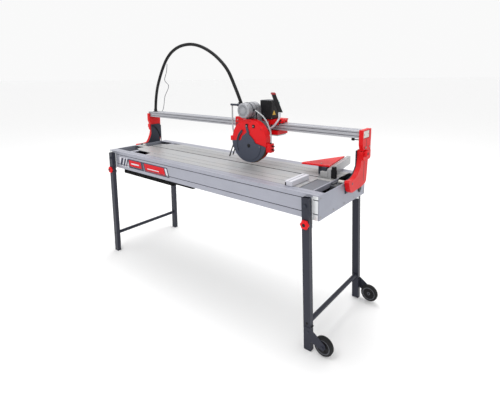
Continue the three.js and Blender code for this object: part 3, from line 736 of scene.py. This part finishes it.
def knob(name, c, axis, r, lobes, depth, h0, h1, body, node, shaft, collar=None):
    """a lobed grip between h0 and h1; shaft is (start, radius), collar (end, radius)"""
    h = h1 - h0

    def lobed(a, t, rr):
        return 1 if rr < r * 0.62 else 1 - depth / r * (0.5 - 0.5 * math.cos(lobes * a))

    grip = [(h0 + h * t, r * q) for t, q in KNOB_PROFILE]
    cap = [(h0 + h * 0.9, r * 0.36), (h1 - 0.6, r * 0.36), (h1, r * 0.3), (h1, 0.1)]
    parts = [lathe("k", c, axis, grip, REDP, n=60, shape=lobed, smooth=50),
             lathe("kc", c, axis, cap, BLACK, n=32),
             lathe("ks", c, axis, [shaft, (h0 + 1, shaft[1])], SLATE if collar else ZINC, n=20)]
    if collar:
        parts.append(lathe("kw", c, axis, [(shaft[0], collar[1]), collar], SLATE, n=24))
    stand_in(join(name, parts), body, "red_plastic", node)


for side, s in SIDES:
    for row, f in ROWS:
        at = (leg_x(side, s, KNOB_DROP), 0, LEG_Z - KNOB_DROP * math.cos(LEG_SPLAY[side]))
        knob(f"leg_knob_{row}_{side}_grip", at, (0, f, 0), 25, 6, 4, 305, 322, f"leg_lock_{row}_{side}",
             f"leg_knob_{row}_{side}", (WALL_Y + 0.9, 3.9))
    at = (0, *on_circle(PIVOT_Y, PIVOT_Z, TILT_SLOT_R, TILT_KNOB_DEG))
    knob(f"tilt_knob_{side}_grip", at, (s, 0, 0), 23, 5, 5, 964.6, 982, f"tilt_lock_{side}",
         f"tilt_knob_{side}", (913, 4.8), (919.4, 8.8))
knob("carriage_knob_grip", (434, 0, 1095), FORWARD, 17, 5, 3.5, -122.6, -108, "carriage_lock", "carriage_knob",
     (-137, 3.9))

# ---------------------------------------------------------------- wheels
# one face of the wheel: (depth from the face, radius), from the bore over the hub and web to the tread
WHEEL_HALF = [(0, 5.6), (0, 9), (1, 10), (4, 11), (4, 31), (1.5, 33), (1.5, 37.5), (0, 38.2), (0, 42),
              (2.5, 47), (6.5, 49.6), (11, 50), (11.4, 49), (12.2, 49), (12.6, 50)]
HUB_PAINT = [2, 2, 2, 1, 1, 2, 2]


def wheel(row, f):
    y0, y1 = sorted((f * (LEG_FACE_Y - 0.8), f * (LEG_FACE_Y - 29.4)))
    prof = [(y0 + t, r) for t, r in WHEEL_HALF] + [(y1 - t, r) for t, r in reversed(WHEEL_HALF)] + [(y0, 5.6)]
    tread = [0] * (len(prof) - 1 - 2 * len(HUB_PAINT))
    tyre = lathe("tyre", (WHEEL_X, 0, WHEEL_Z), ALONG_Y, prof, [RUBBER, BLACK, CASTD], n=72,
                 midx=HUB_PAINT + tread + HUB_PAINT[::-1], smooth=40, close=False)
    spokes = radial_bars("s", WHEEL_X, WHEEL_Z, y0 + 2.0, y1 - 2.0, (9, 5), (33, 3.4), 5, BLACK)
    stand_in(join(f"wheel_{row}_complete", [tyre] + spokes), f"wheel_{row}", "black_rubber", f"wheel_{row}")


for row, f in ROWS:
    wheel(row, f)

# ---------------------------------------------------------------- motor
MOTOR_PROFILE = [(-31.4, 0.1), (-31.4, 15), (-30.6, 16), (-30.6, 18), (-32, 19), (-32, 38), (-30.5, 41.5),
                 (-27, 44), (-26.4, 47), (-25, 48), (-13, 48), (-12.4, 46.8), (-10.6, 46.8), (-10, 48),
                 (9, 48), (9.6, 50), (16, 50), (16.6, 48), (24, 48), (24.4, 46.6), (26.6, 46.6), (27, 48),
                 (33, 48), (33.4, 46.6), (35.6, 46.6), (36, 48), (47, 48), (48, 47), (48, 0.1)]
CLAMP_RING = (9, 16.6)


def motor():
    """stepped housing with a slotted end cap, a dark clamping ring and cooling fins"""
    dark = [int(CLAMP_RING[0] <= t < CLAMP_RING[1]) for t, r in MOTOR_PROFILE[:-1]]
    parts = [lathe("mh", (MOTOR_X, 0, MOTOR_Z), ALONG_Y, MOTOR_PROFILE, [CAST, CASTD], n=72, midx=dark)]
    parts += radial_bars("sl", MOTOR_X, MOTOR_Z, -32.25, -31.0, (22, 1.0), (36, 1.5), 28, CASTD)
    parts += radial_bars("fn", MOTOR_X, MOTOR_Z, -9.5, 8.6, (47, 0.9), (49.6, 0.7), 20, CAST, 0.05)
    for k in range(4):
        x, z = on_circle(MOTOR_X, MOTOR_Z, 47, 45 + 90 * k)
        parts.append(bolt("mb", (x, -25, z), FORWARD, 3, 3, ZINC))
    stand_in(join("motor_housing", parts), "head", "motor_cast", "motor")


motor()

# ---------------------------------------------------------------- electrical box and flow indicator
X0, X1, Y0, Y1, Z0, Z1 = 285, 371, 93, 178, 1100.4, 1220


def switch_box():
    """moulded box with a lid seam, a rocker switch, a cable gland and a plain yellow triangle"""
    parts = [cube("body", X0, X1, Y0 + 2, Y1, Z0, Z1, BLACK, 5, 3),
             cube("face", X0 + 3, X1 - 3, Y0, Y0 + 4, Z0 + 4, Z1 - 4, BLACK, 1.6, 2),
             cube("seam", X0 - 0.4, X1 + 0.4, Y0 + 28, Y0 + 30, Z0 + 0.2, Z1 + 0.3, DARK_AND_SHADE, 0.4, 1),
             cube("frame", X0 + 50, X0 + 70, Y0 - 1.2, Y0 + 1, 1150, 1186, DARK_AND_SHADE, 0.8),
             cube("rocker", X0 + 53, X0 + 67, Y0 - 2.6, Y0, 1154, 1182, BLACK, 1.2),
             # the grey top plate and the grey strip on the front left edge are painted highlight on the black box
             cube("top", X0 + 3, X1 - 3, Y0 + 0.4, Y1 - 4, Z1 - 0.8, Z1 + 1.2, CASTD, 0.8),
             cube("edge", X0 + 0.5, X0 + 12, Y0 + 0.8, Y0 + 4.2, Z0 + 1, Z1 - 1, CASTD, 1.0),
             lathe("gland", (X0 + 30, Y0 - 1, 1130), FORWARD, [(-1, 11), (2, 11), (3, 9.5), (3, 0.1)], DARK_AND_SHADE,
                   n=32),
             plate("border", [(104, 1125.6), (146, 1125.6), (125, 1162.5)], "x", X1, X1 + 0.3, BLACK, 0),
             plate("sign", [(108, 1128), (142, 1128), (125, 1158)], "x", X1 + 0.1, X1 + 0.6, YELL, 0)]
    for y, z in ((Y0 + 7, 1108), (Y1 - 7, 1108), (Y0 + 7, 1212), (Y1 - 7, 1212)):
        parts.append(screw("corner", (X1, y, z), ALONG_X, 2.6, 1.4, ZINC))
    stand_in(join("switch_box_moulding", parts), "carriage", "black_plastic", "switch_box")


switch_box()
tube = [lathe("tl", (378, 165, 1176), ALONG_Z, [(0, 4), (2, 7), (30, 7), (34, 4.5), (34, 0.1)], TEAL, n=24),
        screw("tn", (X1, 165, 1190), ALONG_X, 5, 8, BLACK)]
stand_in(join("flow_indicator", tube), "carriage", "clear_tube")

# ---------------------------------------------------------------- handle
ROD = [(348, 98, 1040), (366, 97, 1046), (386, 96, 1058), (408, 95, 1080), (428, 95, 1106), (437, 95, 1128),
       (438, 95, 1146)]
GRIP_FOOT, GRIP_END = Vector((440, 95, 1150.6)), Vector((384, 95, 1270))
RIB_PITCH = 7


def grip():
    """ribbed dark sleeve, slightly tapered, with a red end in the darker red of painted shade"""
    axis = GRIP_END - GRIP_FOOT
    length = axis.length
    sleeve = [(0.3, 12), (0.3, 15.5), (2, 16.6), (6, 16.6), (8, 15)]
    for k in range(14):
        t = 12 + k * RIB_PITCH
        r = 16.0 - 1.9 * t / length
        sleeve += [(t, r - 0.9), (t + 1.5, r), (t + 5, r), (t + 6.4, r - 0.9)]
    sleeve += [(length - 18, 13.6), (length - 14, 14.6), (length - 11, 14.6)]
    end = [(length + t, r) for t, r in ((-14, 12), (-13.5, 15.6), (-6, 16.4), (-2, 15), (1, 11), (1.4, 8),
                                        (0.4, 7.6), (0.4, 0.1))]
    parts = [lathe("sleeve", GRIP_FOOT, axis, sleeve, RUBBER, n=40, smooth=50),
             lathe("end", GRIP_FOOT, axis, end, RED_SHADE, n=40, smooth=50)]
    stand_in(join("handle_grip", parts), "head", "black_rubber", "grip")


rod = sweep("handle_rod", resample(smooth_path(ROD, 8), 4), 6.0, WHITE, n=18)
stand_in(rod, "head", "zinc_steel", "handle_bar")
grip()

# ---------------------------------------------------------------- blade
BLADE_RINGS = [8.4, 60, 114, 115, BLADE_R]
BLADE_HALF = 1.2
BLADE_STEPS = 288
NOTCH_EVERY, NOTCH_DEPTH = 16, 7.5


def blade():
    """flat disc with a rough rim that is notched at even steps"""
    verts = []
    for s in (-1, 1):
        for r in BLADE_RINGS:
            for i in range(BLADE_STEPS):
                a = 2 * math.pi * i / BLADE_STEPS
                q = r - (NOTCH_DEPTH if r == BLADE_R and i % NOTCH_EVERY == 0 else 0)
                verts.append(R(BLADE_X + q * math.cos(a), BLADE_Y + s * BLADE_HALF, BLADE_Z + q * math.sin(a)))
    rings, n = len(BLADE_RINGS), BLADE_STEPS
    faces = ring_faces(rings, n) + ring_faces(rings, n, rings * n)
    mi = [int(k == rings - 2) for side in range(2) for k in range(rings - 1) for i in range(n)]
    for k in (0, rings - 1):
        for i in range(n):
            j = (i + 1) % n
            faces.append((k * n + i, k * n + j, (rings + k) * n + j, (rings + k) * n + i))
            mi.append(int(k > 0))
    stand_in(link("blade_disc", verts, faces, [BLADEM, RIMM], 30, mi), "spindle", "steel", "blade")


blade()

# ---------------------------------------------------------------- valve, bumper, end stop, end of the table
VALVE_BAR = [(58, 5), (59, 7), (118, 7), (119, 10), (141, 10), (142, 7), (184, 7), (185, 9), (190.8, 9)]
valve = [lathe("bar", (0, 66, 1184), ALONG_X, VALVE_BAR, SLATE, n=32),
         lathe("lever", (130, 66, 1193), ALONG_Z, [(0, 3), (6, 3), (6, 6), (9, 6), (9, 0.1)], BLACK, n=24),
         bolt("outlet", (70, 66, 1178), (0, 0, -1), 6, 4, ZINC)]
stand_in(join("water_valve_bar", valve), "head", "slate_steel", "water_valve")

BUMPER = [(884, 5.5), (885.5, 7.4), (899, 7.5), (900, 6.5), (900.2, 3), (940.4, 3)]
bumper = lathe("bu", (0, 150, 1022), ALONG_X, BUMPER, [BLACK, CASTD], n=32, midx=[0, 0, 0, 0, 1])
stand_in(join("bumper_stop", [bumper]), "bridge", "black_rubber", "end_bumper")

stop = [cube("bar", 692.2, 735.8, -225.6, -53.2, 810.4, 837.8, WHITE, 2.2, 3),
        cube("end", 691.9, 700, -225.9, -218, 811, 829, BLACK, 1),
        # the groove is a mid-grey strip: painted shade
        cube("groove", 712, 716, -224, -55, 837.0, 838.1, MID, 0.3, 1)]
stand_in(join("end_stop_bar", stop), "end_stop", "white_bar", "end_stop")

end_parts = [cube("cover", 768.7, 849.6, -208.8, -16.2, 801, 808, MID, 0.8),
             cube("edge", 849, 857, -211, 62, 784, 811, ALU_P, 1.0),
             cube("block", 857.2, 903.8, -44.8, 61.8, 770.2, 796.8, CASTD, 1.5),
             cube("step", 857.2, 871.8, -29.8, 11.8, 796, 806, CASTD, 1.0),
             bolt("b1", (882, -30, 797), ALONG_Z, 6, 4, ZINC), bolt("b2", (882, 44, 797), ALONG_Z, 6, 4, ZINC)]
stand_in(join("end_bridge_assembly", end_parts), "frame", "alu_table", "end_bridge")

# ---------------------------------------------------------------- trim on the frame
PANEL_Z = 705                                    # foot of the striped panel
PANEL_BANDS = ((718.6, 771), (PANEL_Z, 713.6))   # above and below the profile's groove
# plain stripes: left, right, bottom, top, lean to the right per mm of height, paint, thickness
STRIPES = [(-789, -655, 705, 771, 0.0, WHTG, 0.2), (-786, -758, 708, 768, 0.4, NAVY, 0.3),
           (-744, -722, 708, 768, 0.4, NAVY, 0.3), (-710, -694, 708, 768, 0.4, NAVY, 0.3),
           (-664, -478, 705, 771, -0.25, NAVY, 0.25), (-652, -504, 714, 763, -0.25, REDG, 0.3),
           (-628, -532, 734, 744, -0.25, WHTG, 0.35), (-470, -196, 705, 771, -0.35, NAVY, 0.25),
           (-458, -236, 711, 764, -0.35, REDG, 0.3), (-430, -300, 728, 734, -0.35, WHTG, 0.35),
           (-226, -206, 712, 764, -0.35, WHTG, 0.35)]


def stripes():
    """flat slanted stripes on the front wall, each split where the groove runs"""
    parts = []
    for x0, x1, bottom, top, lean, paint, thick in STRIPES:
        for z0, z1 in PANEL_BANDS:
            a, b = max(bottom, z0), min(top, z1)
            if b - a > 1:
                da, db = lean * (a - PANEL_Z), lean * (b - PANEL_Z)
                pts = [(x0 + da, a), (x1 + da, a), (x1 + db, b), (x0 + db, b)]
                parts.append(plate("g", pts, "y", -WALL_Y - thick, -WALL_Y, paint, 0))
    return parts


def frame_fixings():
    """screws of the profiles and end panels, foot plugs and the bolts of the fold axis"""
    parts = []
    for f in (-1, 1):
        for s in (-1, 1):
            for z in (800, 700):
                parts.append(screw("sc", (s * 903, f * (WALL_Y - SUNK), z), (0, f, 0), 4.2, 2, ZINC))
            for y, z in ((258, 796), (258, 700), (120, 700), (0, 700)):
                parts.append(screw("sp", (s * END_X, f * y, z), (s, 0, 0), 4.2, 2, ZINC))
        plug = [(888, 685), (911, 685), (911, 690), (888, 690)]
        parts.append(plate("pg", plug, "y", f * 273.2, f * 270, BLACK, 0))
        for s in (1, -1):
            parts.append(bolt("lb", (s * LEG_X, f * 309, LEG_Z), (0, f, 0), 8.6, 4, SLATE))
    return parts


def corner_pieces():
    """end pieces of the profiles, split by the grooves; near white, their pale metal with a painted highlight"""
    parts = []
    for s in (-1, 1):
        for f in (-1, 1):
            x0, x1 = sorted((s * 884.5, s * 914.2))
            y0, y1 = sorted((f * (WALL_Y - SUNK), f * 274.2))
            for z0, z1 in ((684.6, 713.4), (718.6, 783.4), (788.6, 805)):
                parts.append(cube("co", x0, x1, y0, y1, z0, z1, PALE_AND_HIGHLIT, 0.6, 1))
    return parts


def pivot_turnings(name, prof, mt):
    """one turned piece on the tilt axis at each end; prof starts at the middle of the saw"""
    return [lathe(name, (0, PIVOT_Y, PIVOT_Z), (s, 0, 0), prof, mt, n=32) for s in (-1, 1)]


def latch():
    """flat latch on the right end panel, clear of the tilting pylon"""
    return [cube("lt", 920.1, 924.7, 176, 216, 722, 746, BLACK, 1.6, 2),
            cube("lt2", 920.1, 924.9, 186, 206, 712, 724, BLACK, 1.6, 2)]


def sump_ribs():
    """ribs on the walls of the sump, longer on its deep left part"""
    parts = []
    for k in range(9):
        x = -780 + k * 66
        foot = 657 if x > -215 else 641
        for f in (-1, 1):
            parts.append(cube("rb", x - 3, x + 3, f * 236, f * 239.5, foot, 689, TRAY, 0.8, 1))
    return parts


def drain_and_pump():
    """drain plug under the sump and the pump with its outlet inside it"""
    drain = [(-1, 20), (5, 20), (7, 17), (7, 9), (12, 9), (12, 0.1)]
    outlet = [(0, 9), (14, 9), (14, 6), (24, 6), (24, 0.1)]
    return [lathe("dp", (-500, 0, 638), (0, 0, -1), drain, BLACK, n=32),
            cube("pb", -640, -560, 150, 215, 641.5, 700, BLACK, 5, 3),
            lathe("pt", (-600, 182, 700), ALONG_Z, outlet, CASTD, n=24)]


def table_screws():
    places = [(x, y, 809.4) for x in (-740, 720) for y in (-180, -60, 90, 190)]
    return [screw("ts", at, ALONG_Z, 4.5, 1.2, ZINC) for at in places]


trim = stripes() + frame_fixings() + corner_pieces()
trim += pivot_turnings("tp", [(874, 0.1), (874, 8), (875, 9), (907.5, 9), (907.5, 0.1)], PALE)
trim += latch()
trim += pivot_turnings("pv", [(943, 6.8), (945.2, 6.8), (952.2, 6.8), (953, 5), (953, 0.1)], CASTD)
trim += sump_ribs() + drain_and_pump() + table_screws()
stand_in(join("frame_trim", trim), "frame", None)


def table_seams():
    """lines of the extrusions: shallow dark strips of painted shade on the table, in the slot and in the wall grooves
    """
    low = TABLE_Z - 0.4
    parts = [cube("s", -520, 764, y - 1.2, y + 1.2, low, 810.15, SHADE_LINE, 0) for y in (-150, -88)]
    parts += [cube("s", -560, 846, y - 1.2, y + 1.2, low, 810.15, SHADE_LINE, 0) for y in (96, 160)]
    parts += [cube("s", -789, 765, y0, y1, 775, 808.8, DARK_AND_SHADE, 0) for y0, y1 in ((21.6, 22.4), (30.7, 31.4))]
    parts.append(cube("s", -540, 765, -213.0, -210.6, low, 810.15, SHADE_LINE, 0))
    parts.append(cube("s", -789, 846, 19.6, 21.4, low, 810.12, SHADE_LINE, 0))
    for f in (-1, 1):
        y0, y1 = sorted((f * 270.35, f * 269.9))
        for z0, z1 in ((784.1, 787.9), (714.1, 717.9)):
            parts.append(cube("s", -914, 914, y0, y1, z0, z1, SHADE_LINE, 0))
        y0, y1 = sorted((f * 244.2, f * 246.8))
        parts.append(cube("s", -914, 914, y0, y1, 807.9, 808.4, SHADE_LINE, 0))
    stand_in(join("table_seams", parts), "frame", "alu_table")


table_seams()

# ---------------------------------------------------------------- trim on the bridge
RAIL_ENDS = {-1: -944.0, 1: 957.0}
PYLON_FACE = {-1: 952, 1: 964}
CAP_OUTLINE = [(124.6, 1035), (203.4, 1035), (203.4, 1074.6), (124.6, 1074.6)]
SLEEVE = [(0, 20), (2.0, 20), (2.0, 13.3), (20, 13.3), (22, 12.6), (22, 12.1)]


def bridge_trim():
    """end caps and bolts of the rail and pylons, with painted shade in their grooves, recess lines and clamping slots
    """
    parts = []
    for s in (-1, 1):
        x0 = RAIL_ENDS[s]
        x1 = x0 + s * 5
        parts.append(plate("cap", CAP_OUTLINE, "x", min(x0, x1), max(x0, x1), PALE, 1.6, 2))
        for y in (136, 192):
            parts.append(screw("cs", (x1, y, 1054), (s, 0, 0), 3.4, 1.4, ZINC))
        for y in (150, 206):
            parts.append(bolt("pb", (s * PYLON_FACE[s], y, 984), (s, 0, 0), 5.5, 4, ZINC))
    # grooves of the rail as strips of painted shade, and its top band
    for z0, z1 in ((1044.4, 1046.8), (1063.4, 1065.8)):
        parts.append(cube("rl", -943.5, 940.5, 125.2, 125.7, z0, z1, SHADE_LINE, 0))
    parts.append(cube("rl", -943.5, 940.5, 149.7, 179.3, 1073.8, 1074.2, ALU_P, 0))
    # recess lines of both pylons, parting line and rib of the right one, as dark red strips of painted shade
    parts.append(cube("pr", 951.6, 952.6, 168, 176, 790, 905, RED_SHADE, 0.3, 1))
    parts.append(cube("pr", -952.6, -951.6, 168, 176, 790, 905, RED_SHADE, 0.3, 1))
    parts.append(cube("pl", 940.2, 964.3, 125.6, 225.4, 964.6, 966.6, RED_SHADE, 0.3, 1))
    parts.append(cube("ar", 963.6, 964.6, 160, 166, 972, 1028, RED_SHADE, 0.3, 1))
    parts.append(lathe("cf", (-896, ARCH_Y, 1075.6), ALONG_Z, SLEEVE, BLACK, n=36))
    # dark backing seen through the clamping slots: a sheet of painted shade
    sector = [on_circle(PIVOT_Y, PIVOT_Z, TILT_SLOT_R + 6, a) for a in range(12, 52, 3)]
    sector += [on_circle(PIVOT_Y, PIVOT_Z, TILT_SLOT_R - 6, a) for a in range(51, 10, -3)]
    for s in (-1, 1):
        x0, x1 = sorted((s * 925.25, s * 925.95))
        parts.append(plate("sb", sector, "x", x0, x1, DARK_AND_SHADE, 0))
    stand_in(join("bridge_trim", parts), "bridge", None)


bridge_trim()

# ---------------------------------------------------------------- trim on the carriage and the head
GLAND = [(0, 19), (3, 19), (3, 15.5), (20, 15.5), (22, 13), (22, 12.3)]


def carriage_trim():
    """sliding pad, shadow of the lower lip, bolts and the conduit's gland"""
    parts = [cube("pad", 300, 409.6, 112, 206, 997, 1003.8, PTEAL, 1.0),
             cube("lip", 66, 300, 104.6, 106.2, 1012, 1062, RED_SHADE, 0.4, 1)]
    parts += [bolt("cb", (x, 106, 1080), FORWARD, 5.5, 4, ZINC) for x in (84, 150, 216, 330)]
    parts += [bolt("cb", (x, 222, 1050), ALONG_Y, 5.5, 4, ZINC) for x in (130, 390)]
    parts.append(lathe("cg", (95, ARCH_Y, 1099.6), ALONG_Z, GLAND, BLACK, n=36))
    stand_in(join("carriage_trim", parts), "carriage", None)


def guard_arc(x, y, z, r, angles):
    """points on an arc in a plane across y"""
    return [Vector((px, y, pz)) for px, pz in (on_circle(x, z, r, a) for a in angles)]


def head_trim():
    """small parts of the guard, its grey cover, the belt cover and the water tube"""
    # clamp pads of the guard with their bolts
    parts = [cube("hp", 238, 256, 0.2, 4, 1048, 1074, BLACK, 1.2),
             cube("hp", 292, 310, 0.5, 5, 1052, 1072, BLACK, 1.2)]
    parts += [bolt("hb", (x, 0.8, z), FORWARD, 4.6, 3, ZINC) for x, z in ((247, 1061), (301, 1062))]
    # curved ridge, centre cap and screw of the grey cover
    parts.append(sweep("rg", guard_arc(275, -5.2, BLADE_Z, 103, range(126, 212, 4)), 1.5, DARK_AND_SHADE, n=8))
    parts.append(screw("gc", (267, -2.5, 937), FORWARD, 12, 5, BLACK))
    parts.append(screw("gs", (352, 0.3, 938), FORWARD, 6, 3.5, ZINC))
    # rivets in the darker red of painted shade, side stubs and raised lip of the guard
    for a in (40, 85, 130):
        x, z = on_circle(BLADE_X, GUARD_Z, 124, a)
        parts.append(screw("gr", (x, 4.1, z), FORWARD, 3.6, 1.6, RED_SHADE))
    stub = [(-1, 5), (8, 5), (8, 3.4), (17, 3.4), (17, 0.1)]
    parts += [lathe("gf", (428, 27, z), ALONG_X, stub, BLACK, n=20) for z in (925, 948)]
    parts.append(sweep("lip", guard_arc(BLADE_X, 4.2, GUARD_Z, GUARD_R, range(-10, 184, 3)), 1.7, REDP, n=10))
    # screws of the belt cover and the plate beside it
    for x, z in ((244, 1203), (206, 1178), (282, 1178), (226, 1100), (284, 1100)):
        parts.append(screw("as", (x, 52.2, z), FORWARD, 3.4, 2, ZINC))
    parts.append(cube("pb", 296, 302.6, 92.5, 103, 1000, 1076, CASTD, 1))
    # ends of the right water tube
    socket = [(-8, 6.5), (2, 6.5), (3, 5.2), (8, 5.2)]
    parts.append(lathe("ht", ARM_TO_GUARD[0], (1, -0.1, -0.2), socket, BLACK, n=24))
    parts.append(lathe("h2", (420, 24, 961), ALONG_Z, [(0, 7), (5, 7), (6, 5.4), (10, 5.4)], BLACK, n=24))
    stand_in(join("head_trim", parts), "head", None)


carriage_trim()
head_trim()

# ---------------------------------------------------------------- trim on the stand and the fence
CROSSBAR_Z = 146


def stand_trim(side, s):
    """crossbar bolts, and on the wheeled pair the foot plates, wheel bolts and cheek bolts"""
    parts = []
    for f in (-1, 1):
        x = leg_x(side, s, LEG_Z - CROSSBAR_Z)
        parts.append(screw("cb", (x, f * (LEG_FACE_Y - 0.2), CROSSBAR_Z + 0.5), (0, f, 0), 6.5, 3, BLACK))
        if s > 0:
            parts.append(cube("wt", 868, 908, f * 288 - 10, f * 288 + 10, 128.5, 133, BLACK, 1.2))
            parts.append(bolt("wb", (WHEEL_X, f * 307.4, WHEEL_Z), (0, f, 0), 7.6, 4, ZINC))
            parts.append(bolt("wc", (892, f * 307.4, 104), (0, f, 0), 6, 3, SLATE))
    stand_in(join(f"stand_trim_{side}", parts), f"stand_{side}", None)


def fence_trim():
    """inset of the protractor, foot and block of the fence, its knob and pivot bolt"""
    inset = [(771, 100), (738, 333), (657, 84), (658, 76)]
    knob_prof = [(0, 5), (0, 12), (3, 14), (8, 14), (10, 11), (10, 0.1)]

    def lobed(a, t, r):
        return 1 - 0.1 * (0.5 - 0.5 * math.cos(6 * a)) if r > 8 else 1

    parts = [plate("fi", inset, "z", 869.7, 870.15, RED, 0),
             cube("ff", 756, 800, 32, 56, 810.6, 842, ALU_T, 1.5),
             cube("fg", 752, 782, 56, 92, 838, 862, SLATE, 2.0),
             cube("fh", 735, 795, 70, 84, 811, 818, DARK_AND_SHADE, 1.0),
             lathe("fk", (834, 47, 866), ALONG_Z, knob_prof, BLACK, n=36, shape=lobed),
             bolt("fs", (729, 94, 869.6), ALONG_Z, 6, 4, ZINC)]
    stand_in(join("fence_trim", parts), "fence", None)


for side, s in SIDES:
    stand_trim(side, s)
fence_trim()

# ---------------------------------------------------------------- floor and light
FLOOR_HALF = 300     # metres


def floor():
    me = bpy.data.meshes.new("floor")
    corners = [(x * FLOOR_HALF, y * FLOOR_HALF, 0) for x, y in ((-1, -1), (1, -1), (1, 1), (-1, 1))]
    me.from_pydata(corners, [], [(0, 1, 2, 3)])
    paint = bpy.data.materials.new("floor")
    paint.use_nodes = True
    shader = paint.node_tree.nodes["Principled BSDF"]
    shader.inputs["Base Color"].default_value = (0.98, 0.98, 0.98, 1)
    shader.inputs["Roughness"].default_value = 0.9
    shader.inputs["Specular IOR Level"].default_value = 0.1
    me.materials.append(paint)
    ob = put("floor", me)
    ob.location = (0, 0, -0.001)
    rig.stage(ob)


def area(name, loc, size, power):
    """a square lamp aimed at the work face"""
    lamp = bpy.data.lights.new(name, "AREA")
    lamp.size = size
    lamp.energy = power
    ob = put(name, lamp)
    ob.location = loc
    ob.rotation_euler = (Vector((0, 0, 0.8)) - Vector(loc)).to_track_quat("-Z", "Y").to_euler()


floor()
studio = bpy.data.worlds.new("studio")
scene.world = studio
studio.use_nodes = True
studio.node_tree.nodes["Background"].inputs[0].default_value = (1, 1, 1, 1)
studio.node_tree.nodes["Background"].inputs[1].default_value = 0.95
area("key", (0.2, -3.0, 4.4), 2.0, 48)
area("fill", (4.5, -0.5, 2.0), 2.5, 6)
area("top", (-0.6, 1.0, 4.6), 2.4, 90)
scene.view_settings.view_transform = "Standard"

json.dump({"cad": [list(map(float, v)) for v in cad_box], "visual": [list(map(float, v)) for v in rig.bounds()]},
          open("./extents.json", "w"))
